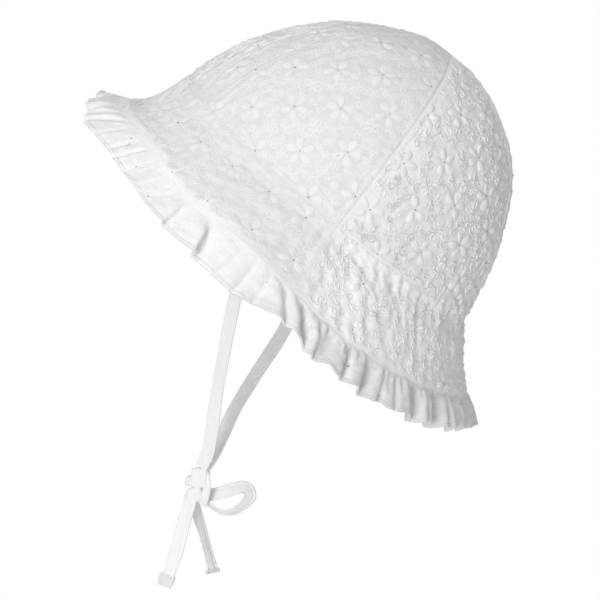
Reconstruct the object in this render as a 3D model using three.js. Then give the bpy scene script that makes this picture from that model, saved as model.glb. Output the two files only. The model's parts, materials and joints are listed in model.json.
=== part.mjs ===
// A baby's sun hat of white embroidered cotton: a crown of five gores, a brim that
// drops into a neck flap, a gathered ruffle round the rim, and two cotton tapes
// that are tied under the chin in a half bow.
// Millimetres, +Z up. The front of the hat looks towards -X and the wearer's left
// is -Y. The origin is the point where the top of the head touches the crown.
import * as THREE from 'three';

// Driving dimensions
const crownWall = 1.2;          // embroidered cloth with its backing
const brimWall = 1.3;           // two layers of cloth
const ruffleWall = 1.0;         // one layer of cloth
const pieceGap = 0.3;           // clearance between neighbouring pieces
const brimSeamGap = 0.7;        // clearance where the brim turns out from the crown
const ruffleSeamGap = 0.45;     // clearance where the ruffle turns down from the brim
const tiltDegrees = 40.5;       // how far the hat leans back on the head
const seatHeight = 123.5;       // inside of the crown's top above the rim's plane
const seamDip = 0.9;            // how far a crown seam pulls the cloth in
const seamReach = 5;            // width over which it does so
const crownRun = 130;           // cloth from the crown's tip to the brim seam
const brimRun = 40;             // cloth from the brim seam to the turned edge
const turnedEdge = { width: 4.5, extraWall: 0.9 };
const rimRadius = 95;           // mean reach of the brim
const ruffleFolds = 54;         // gathers in the whole round
const columnsPerFold = 6;       // panel columns that draw one gather
const tapeWidth = 6.5;
const tapeWall = 1.0;
const sideSeamDegrees = 108;    // the front brim meets the neck flap here

// The five gores, by the azimuth of the seams on either side: 0 is the front,
// 90 the wearer's left, 180 the back
const gores = [
  { name: 'crown_front', from: -46, to: 46, columns: 11 },
  { name: 'crown_side_left', from: 46, to: 108, columns: 8 },
  { name: 'crown_back_left', from: 108, to: 180, columns: 9 },
  { name: 'crown_back_right', from: -180, to: -108, columns: 9 },
  { name: 'crown_side_right', from: -108, to: -46, columns: 8 },
];

// The crown from its tip down to the brim seam: the height of each section above
// the rim's plane, and how far it reaches to the front, the side and the back
const crownSections = [
  { height: 124.9, front: 1.6, side: 1.6, back: 1.6 },
  { height: 124.4, front: 9, side: 8.5, back: 10.5 },
  { height: 122.4, front: 19.2, side: 18, back: 22.5 },
  { height: 117.6, front: 32, side: 29, back: 37.2 },
  { height: 108.8, front: 47, side: 41, back: 51.8 },
  { height: 97.5, front: 59.8, side: 51, back: 62.2 },
  { height: 84.3, front: 70.4, side: 59, back: 69.6 },
  { height: 70, front: 79, side: 65, back: 77 },
  { height: 55.5, front: 85.2, side: 69, back: 81 },
  { height: 41.3, front: 89.4, side: 70.5, back: 83.2 },
];

// The brim from the crown seam down to its turned edge: reach and height of each
// section at the front, the side and the back
const brimSections = [
  { front: 89.4, frontHeight: 41.3, side: 70.5, sideHeight: 41.3, back: 83.2, backHeight: 41.3 },
  { front: 91.8, frontHeight: 33.6, side: 75, sideHeight: 35, back: 86, backHeight: 34.5 },
  { front: 93.9, frontHeight: 26.6, side: 79.8, sideHeight: 28.5, back: 90.6, backHeight: 27.5 },
  { front: 96.4, frontHeight: 20.4, side: 84.6, sideHeight: 22.4, back: 95.8, backHeight: 20.5 },
  { front: 100.8, frontHeight: 15.2, side: 89.2, sideHeight: 16.6, back: 101.4, backHeight: 14.5 },
  { front: 107, frontHeight: 11.6, side: 93.5, sideHeight: 11.5, back: 107.8, backHeight: 9.8 },
];

// The waves of the rim, by azimuth away from the front on either side: how far
// the brim's edge swings out and drops there
const rimWave = [
  { azimuth: 0, out: 0, drop: 0 },
  { azimuth: 15, out: 0.4, drop: 0.4 },
  { azimuth: 30, out: -0.6, drop: -0.2 },
  { azimuth: 45, out: -3.6, drop: -1.4 },
  { azimuth: 60, out: -1.4, drop: 2.2 },
  { azimuth: 75, out: 1.6, drop: 3.4 },
  { azimuth: 90, out: 0, drop: 0.6 },
  { azimuth: 105, out: 0.4, drop: 1.6 },
  { azimuth: 120, out: 1.2, drop: 4.4 },
  { azimuth: 135, out: 1.2, drop: 4.4 },
  { azimuth: 150, out: 0.8, drop: 3.2 },
  { azimuth: 165, out: 0.4, drop: 1.4 },
  { azimuth: 180, out: 0, drop: 0 },
];

// The ruffle's width from the brim seam to its free edge, the direction of its
// fall, and how deep its gathers are, by azimuth away from the front
const ruffleShape = [
  { azimuth: 0, width: 16, out: 11.5, down: 12.8, depth: 1.9 },
  { azimuth: 45, width: 15.5, out: 11, down: 13, depth: 1.9 },
  { azimuth: 90, width: 19, out: 11.5, down: 13.5, depth: 2.4 },
  { azimuth: 135, width: 17, out: 12, down: 12.8, depth: 3.2 },
  { azimuth: 180, width: 14.5, out: 12.8, down: 10, depth: 3 },
];

// Larger creases across the ruffle, by azimuth, and how far each pushes the free
// edge in over its half width in degrees
const ruffleCreases = [
  { azimuth: 61, spread: 3, depth: 2.6 },
  { azimuth: 68, spread: 3, depth: -2 },
  { azimuth: 93, spread: 5, depth: 2 },
  { azimuth: -58, spread: 4, depth: 2.4 },
  { azimuth: -97, spread: 5, depth: 2 },
];

// Soft folds that run down the brim: azimuth of the fold, its half width in
// degrees, how far down the brim it is deepest, from 0 to 1, and its depth
const brimFolds = [
  { azimuth: 64, spread: 5, middle: 0.85, depth: -1.1 },
  { azimuth: 99, spread: 4, middle: 0.6, depth: 1.2 },
  { azimuth: 116, spread: 4, middle: 0.35, depth: 1.5 },
  { azimuth: 128, spread: 5, middle: 0.5, depth: -1.2 },
  { azimuth: 150, spread: 5, middle: 0.4, depth: 1 },
  { azimuth: 166, spread: 4, middle: 0.2, depth: 1.2 },
  { azimuth: -64, spread: 5, middle: 0.85, depth: -1.1 },
  { azimuth: -102, spread: 4, middle: 0.6, depth: 1.2 },
  { azimuth: -119, spread: 5, middle: 0.4, depth: 1.4 },
  { azimuth: -150, spread: 5, middle: 0.4, depth: 1 },
  { azimuth: -166, spread: 4, middle: 0.2, depth: 1.2 },
];

// The tapes by the middle of each: turn is how far the flat side is turned about
// the tape's own run, away from facing -Y, in degrees. Each tie is sewn inside the
// crown above the brim seam and ends at the knot.
const tapes = {
  tie_left: {
    steps: 32,
    route: [
      { x: -54.9, y: -68.1, z: -55, turn: 0 },
      { x: -58.8, y: -68.4, z: -59.6, turn: 0 },
      { x: -64.8, y: -66.8, z: -68.8, turn: 2 },
      { x: -72.8, y: -60.5, z: -82.6, turn: 4 },
      { x: -81.6, y: -51.6, z: -96, turn: 6 },
      { x: -88.8, y: -43, z: -107.8, turn: 8 },
      { x: -94.6, y: -35, z: -122.1, turn: 8 },
      { x: -99.9, y: -27, z: -137.2, turn: 8 },
      { x: -103.9, y: -21, z: -148.6, turn: 8 },
      { x: -107.2, y: -16, z: -159, turn: 6 },
      { x: -110.4, y: -11, z: -172, turn: 4 },
      { x: -114, y: -6.2, z: -184, turn: 2 },
      { x: -118.6, y: -2.6, z: -191.7, turn: 0 },
    ],
  },
  tie_right: {
    steps: 32,
    route: [
      { x: -54.9, y: 67.9, z: -55, turn: 0 },
      { x: -58.8, y: 68.2, z: -59.6, turn: 0 },
      { x: -65.4, y: 66.4, z: -71, turn: -2 },
      { x: -73.6, y: 60.2, z: -89.5, turn: -4 },
      { x: -82.6, y: 51.2, z: -109.8, turn: -6 },
      { x: -91.5, y: 41, z: -130.2, turn: -8 },
      { x: -97.4, y: 34, z: -141.8, turn: -8 },
      { x: -103.4, y: 27, z: -153.6, turn: -8 },
      { x: -108.6, y: 20, z: -165, turn: -6 },
      { x: -112.6, y: 13, z: -177, turn: -4 },
      { x: -115.4, y: 7, z: -186, turn: -2 },
      { x: -118, y: 2.4, z: -191.9, turn: 0 },
    ],
  },
  bow_loop: {
    steps: 24,
    route: [
      { x: -115.1, y: -1.2, z: -203.8, turn: 0 },
      { x: -108.4, y: -2.6, z: -203, turn: 4 },
      { x: -100.4, y: -3.4, z: -201.9, turn: 12 },
      { x: -95.4, y: -1.8, z: -202.8, turn: 30 },
      { x: -93.8, y: 1, z: -206.2, turn: 50 },
      { x: -95.8, y: 2.6, z: -210.6, turn: 66 },
      { x: -101.6, y: 2.8, z: -213.8, turn: 70 },
      { x: -108, y: 2.4, z: -213.8, turn: 68 },
      { x: -112.6, y: 2, z: -211.8, turn: 62 },
      { x: -115.4, y: 1.6, z: -209.6, turn: 56 },
    ],
  },
  bow_tail_left: {
    steps: 12,
    route: [
      { x: -123.4, y: -2, z: -210.8, turn: 4 },
      { x: -126.8, y: -3.4, z: -217.6, turn: 2 },
      { x: -130.2, y: -5, z: -227, turn: 0 },
      { x: -132.9, y: -6, z: -237, turn: -4 },
      { x: -134.3, y: -6, z: -250.2, turn: -8 },
    ],
  },
  bow_tail_right: {
    steps: 10,
    route: [
      { x: -120.6, y: 2.6, z: -210.4, turn: 38 },
      { x: -120.4, y: 4.6, z: -218.6, turn: 40 },
      { x: -118.6, y: 6, z: -228.4, turn: 40 },
      { x: -115.4, y: 6.6, z: -240.6, turn: 36 },
      { x: -114.6, y: 6.6, z: -244.4, turn: 34 },
    ],
  },
};
const knot = { x: -121, y: 0, z: -201.2, halfX: 5.3, halfY: 4.2, halfZ: 8.9, squareness: 5 };

const radians = THREE.MathUtils.degToRad;

// Reads a table between its rows, on a smooth curve through every column. The
// curve runs on straight past the first and the last row.
function smoothTable(rows) {
  const names = Object.keys(rows[0]);
  const count = rows.length;
  const curves = names.map((name) => {
    const values = rows.map((row) => row[name]);
    const before = 2 * values[0] - values[1];
    const after = 2 * values[count - 1] - values[count - 2];
    return new THREE.SplineCurve(
      [before, ...values, after].map((value, index) => new THREE.Vector2(index, value)));
  });
  return (along) => Object.fromEntries(names.map(
    (name, index) => [name, curves[index].getPoint((1 + along * (count - 1)) / (count + 1)).y]));
}

// A bell-shaped bump, 1 at zero distance
const bell = (distance, reach) => Math.exp(-((distance / reach) ** 2));

// A cloth panel: a thin box bent onto a surface. place gives the point for a
// place across and along the panel, each from 0 to 1, wall its thickness there.
function clothPanel(columns, rows, place, wall) {
  const geometry = new THREE.BoxGeometry(1, 1, 1, columns, rows, 1);
  const position = geometry.attributes.position;
  const step = 1e-4;
  for (let i = 0; i < position.count; i++) {
    const across = position.getX(i) + 0.5;
    const along = position.getY(i) + 0.5;
    const east = place(across + step, along).sub(place(across - step, along));
    const north = place(across, along + step).sub(place(across, along - step));
    const outward = east.cross(north).normalize();
    const point = place(across, along)
      .addScaledVector(outward, position.getZ(i) * wall(across, along));
    position.setXYZ(i, point.x, point.y, point.z);
  }
  geometry.computeVertexNormals();
  return geometry;
}

// A point on the ring that a section makes round the hat
function ringPoint(section, azimuth) {
  const forward = Math.cos(azimuth);
  const isFront = forward > 0;
  const endHeight = isFront ? section.frontHeight : section.backHeight;
  return new THREE.Vector3(
    -(isFront ? section.front : section.back) * forward,
    -section.side * Math.sin(azimuth),
    section.sideHeight + (endHeight - section.sideHeight) * forward ** 2);
}

// The angle from one azimuth to another, the short way round
function azimuthFrom(degrees, azimuth) {
  const turn = azimuth - radians(degrees);
  return Math.atan2(Math.sin(turn), Math.cos(turn));
}

// How far round from the front an azimuth is on its own side, from 0 to 1
const shareRound = (azimuth) => Math.abs(azimuthFrom(0, azimuth)) / Math.PI;

// The azimuth across a panel between two seams, less half the gap at each
function betweenSeams(from, to, across, radius) {
  const inset = pieceGap / 2 / radius;
  return THREE.MathUtils.lerp(radians(from) + inset, radians(to) - inset, across);
}

// Crown. The seams pull the cloth in towards a point low inside the head, except
// near the tip and the brim seam.
const crownAt = smoothTable(crownSections.map(({ height, ...reach }) => (
  { ...reach, frontHeight: height, sideHeight: height, backHeight: height })));
const dipCentreBelow = 40;
const dipStartRadius = 12;
const dipEndShare = 1 / 8;

function crownPoint(azimuth, down) {
  const point = ringPoint(crownAt(down), azimuth);
  const radius = Math.hypot(point.x, point.y);
  const fromSeam = Math.min(
    ...gores.map((gore) => Math.abs(azimuthFrom(gore.from, azimuth)) * radius));
  const fade = Math.min(1, radius / dipStartRadius) * Math.min(1, (1 - down) / dipEndShare);
  const outward = point.clone().setZ(point.z - dipCentreBelow).normalize();
  return point.addScaledVector(outward, -seamDip * fade * bell(fromSeam, seamReach));
}

function goreGeometry({ from, to, columns }) {
  const last = 1 - brimSeamGap / 2 / crownRun;
  const place = (across, along) => {
    const down = last * (1 - along);
    const ring = crownAt(down);
    return crownPoint(betweenSeams(from, to, across, (ring.front + ring.side) / 2), down);
  };
  return clothPanel(columns, 11, place, () => crownWall);
}

// Brim and neck flap. Each fold fades out towards the seam and the turned edge.
const brimAt = smoothTable(brimSections);
const waveAt = smoothTable(rimWave);
const foldLength = 0.35;
const foldEndShare = 1 / 7;

function brimPoint(azimuth, down) {
  const point = ringPoint(brimAt(down), azimuth);
  const outward = point.clone().setZ(0).normalize();
  const wave = waveAt(shareRound(azimuth));
  point.addScaledVector(outward, wave.out * down ** 2);
  point.z -= wave.drop * down ** 2;
  const fade = Math.min(1, down / foldEndShare) * Math.min(1, (1 - down) / foldEndShare);
  for (const fold of brimFolds) {
    const amount = bell(azimuthFrom(fold.azimuth, azimuth), radians(fold.spread))
      * bell(down - fold.middle, foldLength) * fade;
    point.addScaledVector(outward, -fold.depth * amount);
  }
  return point;
}

function brimGeometry(from, to, columns) {
  const first = brimSeamGap / 2 / brimRun;
  const place = (across, along) => brimPoint(
    betweenSeams(from, to, across, rimRadius), 1 - along * (1 - first));
  const edgeShare = turnedEdge.width / brimRun;
  const wall = (across, along) => brimWall + turnedEdge.extraWall
    * THREE.MathUtils.smoothstep(-along, -1.3 * edgeShare, -0.8 * edgeShare);
  return clothPanel(columns, 9, place, wall);
}

// Ruffle. It leaves along the brim's own slope and bends down into its fall; the
// gathers drift out of step and swell a little as they go round.
const ruffleAt = smoothTable(ruffleShape);
const slopeShare = 0.6;
const gatherAtSeam = 0.12;
const gatherSway = 0.35;

function rufflePoint(azimuth, out) {
  const edge = brimPoint(azimuth, 1);
  const run = edge.clone().sub(brimPoint(azimuth, 0.98)).normalize();
  const shape = ruffleAt(shareRound(azimuth));
  const fall = new THREE.Vector3(edge.x, edge.y, 0).setLength(shape.out)
    .setZ(-shape.down).normalize();
  const onRun = slopeShare * out * (1 - out / 2);
  const point = edge.addScaledVector(run, ruffleSeamGap + shape.width * onRun)
    .addScaledVector(fall, shape.width * (out - onRun));
  const sway = new THREE.Vector3(fall.y, -fall.x, 0).normalize();
  const lift = new THREE.Vector3().crossVectors(fall, sway).normalize();
  const beat = ruffleFolds * azimuth + 0.9 * Math.sin(5 * azimuth) + 0.5 * Math.sin(11 * azimuth);
  const swell = 0.85 + 0.15 * Math.sin(7 * azimuth + 1);
  const depth = shape.depth * swell * (gatherAtSeam + (1 - gatherAtSeam) * out);
  for (const crease of ruffleCreases) {
    const amount = bell(azimuthFrom(crease.azimuth, azimuth), radians(crease.spread)) * out;
    point.addScaledVector(lift, -crease.depth * amount);
  }
  return point.addScaledVector(lift, depth * Math.sin(beat))
    .addScaledVector(sway, gatherSway * depth * Math.sin(2 * beat));
}

function ruffleGeometry(from, to) {
  const folds = ruffleFolds * (to - from) / 360;
  const place = (across, along) => rufflePoint(
    betweenSeams(from, to, across, rimRadius), 1 - along);
  return clothPanel(Math.round(folds * columnsPerFold), 3, place, () => ruffleWall);
}

// Tapes: a thin box bent along its route
function tapeGeometry({ route, steps }) {
  const middle = new THREE.CatmullRomCurve3(
    route.map((row) => new THREE.Vector3(row.x, row.y, row.z)), false, 'catmullrom', 0.5);
  const turnAt = smoothTable(route.map((row) => ({ turn: row.turn })));
  const geometry = new THREE.BoxGeometry(1, 1, 1, 1, steps, 1);
  const position = geometry.attributes.position;
  for (let i = 0; i < position.count; i++) {
    const along = 0.5 - position.getY(i);
    const run = middle.getTangent(along);
    const face = new THREE.Vector3(0, -1, 0).addScaledVector(run, run.y).normalize()
      .applyAxisAngle(run, radians(turnAt(along).turn));
    const across = new THREE.Vector3().crossVectors(face, run);
    const point = middle.getPoint(along)
      .addScaledVector(across, position.getX(i) * tapeWidth)
      .addScaledVector(face, position.getZ(i) * tapeWall);
    position.setXYZ(i, point.x, point.y, point.z);
  }
  geometry.computeVertexNormals();
  return geometry;
}

// Knot: a box of soft cloth with rounded corners
function knotGeometry({ x, y, z, halfX, halfY, halfZ, squareness }) {
  const geometry = new THREE.BoxGeometry(2, 2, 2, 6, 5, 8);
  const position = geometry.attributes.position;
  for (let i = 0; i < position.count; i++) {
    const corner = new THREE.Vector3().fromBufferAttribute(position, i);
    const size = (Math.abs(corner.x) ** squareness + Math.abs(corner.y) ** squareness
      + Math.abs(corner.z) ** squareness) ** (1 / squareness);
    corner.divideScalar(size);
    position.setXYZ(i, x + halfX * corner.x, y + halfY * corner.y, z + halfZ * corner.z);
  }
  geometry.computeVertexNormals();
  return geometry;
}

// Assembly
const cloth = { color: 0xf2f2f1, roughness: 0.9, metalness: 0 };

function piece(name, geometry) {
  const mesh = new THREE.Mesh(geometry, new THREE.MeshStandardMaterial(cloth));
  mesh.name = name;
  return mesh;
}

const hat = new THREE.Group();
const head = new THREE.Group();
head.rotation.y = radians(tiltDegrees);
head.position.set(0, 0, seatHeight).applyEuler(head.rotation).negate();
hat.add(head);

for (const gore of gores) head.add(piece(gore.name, goreGeometry(gore)));
head.add(piece('brim_front', brimGeometry(-sideSeamDegrees, sideSeamDegrees, 34)));
head.add(piece('brim_back', brimGeometry(sideSeamDegrees, 360 - sideSeamDegrees, 24)));
head.add(piece('ruffle_front', ruffleGeometry(-sideSeamDegrees, sideSeamDegrees)));
head.add(piece('ruffle_back', ruffleGeometry(sideSeamDegrees, 360 - sideSeamDegrees)));
for (const [name, tape] of Object.entries(tapes)) hat.add(piece(name, tapeGeometry(tape)));
hat.add(piece('bow_knot', knotGeometry(knot)));

export default hat;
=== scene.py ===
# A baby's sun hat of white embroidered cotton, as it is worn: tilted back on the head,
# with a gathered ruffle round the rim and two tapes tied under the chin in a half bow.
import json
import math

import bmesh
import bpy
import numpy as np
from mathutils import Matrix, Vector

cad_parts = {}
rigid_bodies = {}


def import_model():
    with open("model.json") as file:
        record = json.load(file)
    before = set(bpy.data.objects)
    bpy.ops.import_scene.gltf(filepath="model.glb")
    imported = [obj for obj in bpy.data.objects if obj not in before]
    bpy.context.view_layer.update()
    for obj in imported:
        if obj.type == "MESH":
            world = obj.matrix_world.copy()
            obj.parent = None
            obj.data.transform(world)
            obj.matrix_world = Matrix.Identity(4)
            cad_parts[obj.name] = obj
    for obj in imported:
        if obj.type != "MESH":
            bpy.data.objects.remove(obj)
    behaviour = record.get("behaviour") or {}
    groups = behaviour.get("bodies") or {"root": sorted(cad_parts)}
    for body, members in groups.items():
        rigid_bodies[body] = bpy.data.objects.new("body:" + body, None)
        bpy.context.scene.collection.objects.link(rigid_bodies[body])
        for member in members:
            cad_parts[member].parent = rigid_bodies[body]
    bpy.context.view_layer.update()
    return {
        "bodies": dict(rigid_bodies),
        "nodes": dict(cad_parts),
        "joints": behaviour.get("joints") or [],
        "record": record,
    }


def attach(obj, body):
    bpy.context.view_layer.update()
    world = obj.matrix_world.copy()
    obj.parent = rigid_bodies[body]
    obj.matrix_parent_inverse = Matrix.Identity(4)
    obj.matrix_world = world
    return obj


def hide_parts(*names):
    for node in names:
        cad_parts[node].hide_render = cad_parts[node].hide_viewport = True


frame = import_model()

mm = 0.001

# Studio. The hat hangs as it is worn, in front of a white backdrop that only the camera
# sees. A pale floor lies far below. The main soft light stands beside the camera, a
# little below it, and there are others above, on the right and behind the hat.
view_turn = math.radians(15)
view_distance = 1.2
view_aim = Vector((-0.07103, 0.00246, -0.11196))
view_width = 0.285
sensor_mm = 36
towards_camera = Vector((math.sin(view_turn), -math.cos(view_turn), 0))
camera_lens = bpy.data.cameras.new("camera")
camera_lens.sensor_width = sensor_mm
camera_lens.lens = sensor_mm * view_distance / view_width
camera = bpy.data.objects.new("camera", camera_lens)
camera.location = view_aim + view_distance * towards_camera
camera.rotation_euler = (-towards_camera).to_track_quat("-Z", "Y").to_euler()
bpy.context.scene.collection.objects.link(camera)
bpy.context.scene.camera = camera
bpy.context.scene.view_settings.view_transform = "Standard"

sky = bpy.data.worlds.new("studio_air")
sky.use_nodes = True
sky.node_tree.nodes["Background"].inputs["Color"].default_value = (0.97, 0.985, 1, 1)
sky.node_tree.nodes["Background"].inputs["Strength"].default_value = 0.485
bpy.context.scene.world = sky


def soft_light(name, azimuth, elevation, distance, size, power):
    """A square soft light that faces the hat: azimuth 0 is in front of its left side."""
    turn, rise = math.radians(azimuth), math.radians(elevation)
    back = Vector((math.sin(turn) * math.cos(rise), -math.cos(turn) * math.cos(rise), math.sin(rise)))
    lamp = bpy.data.lights.new(name, "AREA")
    lamp.size = size
    lamp.energy = power
    light = bpy.data.objects.new(name, lamp)
    light.location = view_aim + distance * back
    light.rotation_euler = (-back).to_track_quat("-Z", "Y").to_euler()
    bpy.context.scene.collection.objects.link(light)


soft_light("key_light", -9, -9.5, 2.0, 0.8, 19.4)
soft_light("top_light", -14, 60, 2.0, 1.0, 10)
soft_light("fill_light", 55, -10, 2.0, 1.0, 3.5)
soft_light("back_light", 190, 12, 2.0, 0.8, 19)


class Signal:
    """One output of a material's node. Operators on it add Math nodes."""

    def __init__(self, tree, output=None):
        self.tree = tree
        self.output = output

    def node(self, kind, settings, inputs, output=0):
        """Adds a node, sets its own choices and its sockets, and returns an output."""
        made = self.tree.nodes.new("ShaderNode" + kind)
        for name, value in settings.items():
            setattr(made, name, value)
        for name, value in inputs.items():
            if isinstance(value, Signal):
                self.tree.links.new(value.output, made.inputs[name])
            else:
                made.inputs[name].default_value = value
        return None if output is None else Signal(self.tree, made.outputs[output])

    def math(self, operation, *values):
        """Adds a Math node for these numbers and signals."""
        return self.node("Math", {"operation": operation}, dict(enumerate(values)))

    def sine(self, per_unit):
        """Waves that pass this many radians in one unit of the signal."""
        return self.math("SINE", self * per_unit)

    def noise(self, place, scale, detail=2, roughness=0.5):
        """Uneven grey over a place, from 0 to 1."""
        return self.node("TexNoise", {}, {
            "Vector": place, "Scale": scale, "Detail": detail, "Roughness": roughness})

    def finish(self, kind, inputs):
        """Ends the material in this shader."""
        shader = self.node(kind, {}, inputs)
        self.node("OutputMaterial", {}, {"Surface": shader}, None)

    def split(self):
        """The three numbers of a vector."""
        made = self.node("SeparateXYZ", {}, {"Vector": self})
        return [Signal(self.tree, made.output.node.outputs[axis]) for axis in "XYZ"]

    def blend(self, first, second):
        """A colour between two, by this signal from 0 to 1."""
        return self.node("Mix", {"data_type": "RGBA"}, {0: self, 6: first, 7: second}, 2)

    def __add__(self, other):
        return self.math("ADD", self, other)

    def __radd__(self, other):
        return self.math("ADD", other, self)

    def __sub__(self, other):
        return self.math("SUBTRACT", self, other)

    def __rsub__(self, other):
        return self.math("SUBTRACT", other, self)

    def __mul__(self, other):
        return self.math("MULTIPLY", self, other)

    def __rmul__(self, other):
        return self.math("MULTIPLY", other, self)


def new_material(name):
    """An empty material, and the Signal that its nodes are added from."""
    material = bpy.data.materials.new(name)
    material.use_nodes = True
    material.node_tree.nodes.clear()
    return material, Signal(material.node_tree)


def made_of(name, shape, materials):
    """An object in the scene with the bmesh as its mesh."""
    mesh = bpy.data.meshes.new(name)
    shape.to_mesh(mesh)
    shape.free()
    for material in materials:
        mesh.materials.append(material)
    made = bpy.data.objects.new(name, mesh)
    bpy.context.scene.collection.objects.link(made)
    return made


floor_level = -1.4
floor_radius = 8.5
backdrop_radius = 9
floor_paint, start = new_material("pale_floor")
cloudy = start.noise(start.node("TexCoord", {}, {}, "Object"), 0.8, 3)
start.finish("BsdfPrincipled", {
    "Base Color": cloudy.blend((0.86, 0.865, 0.87, 1), (0.9, 0.9, 0.9, 1)),
    "Roughness": 0.9, "Emission Color": (1, 1, 1, 1), "Emission Strength": 0.6})
shape = bmesh.new()
bmesh.ops.create_circle(shape, cap_ends=True, segments=96, radius=floor_radius)
bmesh.ops.translate(shape, verts=shape.verts, vec=(0, 0, floor_level))
floor = made_of("floor", shape, [floor_paint])

backdrop_paint, start = new_material("white_backdrop")
start.finish("Emission", {"Color": (1, 1, 1, 1), "Strength": 1})
shape = bmesh.new()
bmesh.ops.create_uvsphere(shape, u_segments=48, v_segments=24, radius=backdrop_radius)
backdrop = made_of("backdrop", shape, [backdrop_paint])
floor.visible_diffuse = False
backdrop.visible_diffuse = False
backdrop.visible_glossy = False
backdrop.visible_transmission = False
backdrop.visible_shadow = False


# Ties. Two flat tapes of white cotton, folded lengthwise and stitched along one edge,
# each sewn inside the crown above the brim seam. They hang to the knot under the chin.
tape_width = 6.5 * mm
tape_columns = 24
tape_wall = 0.9 * mm
tape_edge_wall = 0.3 * mm
tape_ripple = 0.14 * mm
hem_wall = 0.8 * mm
tape_stitch_line = 0.27  # share of the width from the middle to the sewn edge's stitches
tape_groove_line = -0.3  # and to the groove beside the folded edge


def smooth_table(rows):
    """Reads a table between its rows, on a smooth curve through every column."""
    table = np.array(rows, float)
    table = np.vstack([2 * table[0] - table[1], table, 2 * table[-1] - table[-2]])
    last = len(table) - 1

    def at(along):
        along = 1 + np.asarray(along, float) * (last - 2)
        start_row = np.clip(np.floor(along), 0, last - 1).astype(int)
        part = (along - start_row)[..., None]
        before = table[np.maximum(start_row - 1, 0)]
        here = table[start_row]
        after = table[start_row + 1]
        slope_in = (after - before) / 2
        slope_out = (table[np.minimum(start_row + 2, last)] - here) / 2
        value = here + part * (slope_in + part * (
            3 * (after - here) - 2 * slope_in - slope_out
            + part * (2 * (here - after) + slope_in + slope_out)))
        return np.moveaxis(value, -1, 0)

    return at


def unit(vectors):
    """Vectors of the same directions with length 1."""
    return vectors / np.maximum(np.linalg.norm(vectors, axis=-1, keepdims=True), 1e-12)


def bell(distance, reach):
    """A bell-shaped bump, 1 at zero distance."""
    return np.exp(-((distance / reach) ** 2))


def ramp(value, low, high):
    """0 below low, 1 above high, and a smooth step between them."""
    share = np.clip((value - low) / (high - low), 0, 1)
    return share * share * (3 - 2 * share)


def crowd(place, amount):
    """Moves places from -0.5 to 0.5 towards both ends, where the detail is."""
    return place + amount * np.sin(2 * np.pi * place) / (2 * np.pi)


def cloth_slab(columns, rows):
    """A flat closed slab, 1 wide, 1 long and 1 thick, with its outer face at the top."""
    slab = bmesh.new()
    bmesh.ops.create_grid(slab, x_segments=columns, y_segments=rows, size=0.5)
    raised = bmesh.ops.extrude_face_region(slab, geom=slab.faces[:])["geom"]
    raised = [part for part in raised if isinstance(part, bmesh.types.BMVert)]
    bmesh.ops.translate(slab, verts=raised, vec=(0, 0, 1))
    bmesh.ops.recalc_face_normals(slab, faces=slab.faces)
    return slab


def bend(slab, place):
    """Moves every vertex to the point that place gives, and keeps its place in the cloth."""
    cloth = slab.verts.layers.float_vector.new("cloth")
    flat = np.array([vert.co[:] for vert in slab.verts])
    points, cloth_places = place(*flat.T)
    for vert, point, cloth_place in zip(slab.verts, points, cloth_places):
        vert.co = point
        vert[cloth] = cloth_place


def add_piece(name, shape, materials, stands_for=(), sharp_from=70):
    """Makes the bmesh a piece of the hat, which rides on the hat's one body."""
    piece = made_of(name, shape, materials)
    piece.data.shade_smooth()
    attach(piece, "root")
    if stands_for:
        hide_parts(*stands_for)
    if sharp_from:
        piece.data.set_sharp_from_angle(angle=math.radians(sharp_from))
    return piece


def tape_frame(route, along):
    """The middle of a tape there, the way it faces, and the way across it."""
    at = smooth_table(route)
    step = 1e-3
    x, y, z, turn = at(along)
    ahead = np.stack(at(along + step)[:3], axis=-1)
    behind = np.stack(at(along - step)[:3], axis=-1)
    run = unit(ahead - behind)
    face = unit(np.array([0, -1, 0]) + run * run[..., 1:2])
    turn = np.radians(turn)[..., None]
    face = face * np.cos(turn) + np.cross(run, face) * np.sin(turn)
    return np.stack([x, y, z], axis=-1), face, np.cross(face, run)


def tape_shape(route, rows, width=tape_width, seed=1, hem=0.0):
    """A folded tape bent along its route. hem is the share of its length that is folded back."""
    slab = cloth_slab(tape_columns, rows)
    phase = np.random.default_rng(seed).uniform(0, 2 * np.pi, 4)
    ends = np.linspace(0, 1, 200)
    middle, _, _ = tape_frame(route, ends)
    length = np.linalg.norm(np.diff(middle, axis=0), axis=1).sum()

    def place(x, y, z):
        along = 0.5 - y
        side = crowd(x, 0.35)
        middle, face, across = tape_frame(route, along)
        run = along * length
        round_edge = np.sqrt(np.clip(1 - np.abs(2 * side) ** 8, 0, 1))
        wall = tape_edge_wall + (tape_wall - tape_edge_wall) * round_edge
        fold = ramp(along, 1 - hem, 1 - hem + 0.02) if hem else 0 * along
        groove = tape_groove_line - 0.03 * np.sin(run / (9 * mm))
        for line, raised in ((tape_stitch_line, -0.5), (groove, -0.4), (tape_stitch_line + 0.11, 0.16)):
            wall = wall + raised * mm * bell(side - line, 0.06)
        rough = 0.25 * mm * np.sin(run / (0.9 * mm) + 5 * side) * np.sin(9 * side + 1)
        wall = wall + fold * (hem_wall + rough)
        wave = tape_ripple * (np.sin(run / (7.1 * mm) + phase[0] + 3 * side)
                              + 0.6 * np.sin(run / (3.3 * mm) + phase[1] - 4 * side))
        broad = 1 + 0.025 * np.sin(run / (11 * mm) + phase[2]) + 0.015 * np.sin(run / (4 * mm) + phase[3])
        broad = broad + 0.16 * fold * (1 + 0.5 * np.sin(run / (1.1 * mm)))
        points = (middle + across * (side * width * broad)[:, None]
                  + face * ((z - 0.5) * wall + wave)[:, None])
        return points, np.stack([side * width / mm, run / mm, fold], axis=-1)

    bend(slab, place)
    return slab


def off_white(tone):
    """The colour of bleached cotton: a grey with a trace of yellow."""
    return (tone, tone, tone - 0.005, 1)


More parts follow.
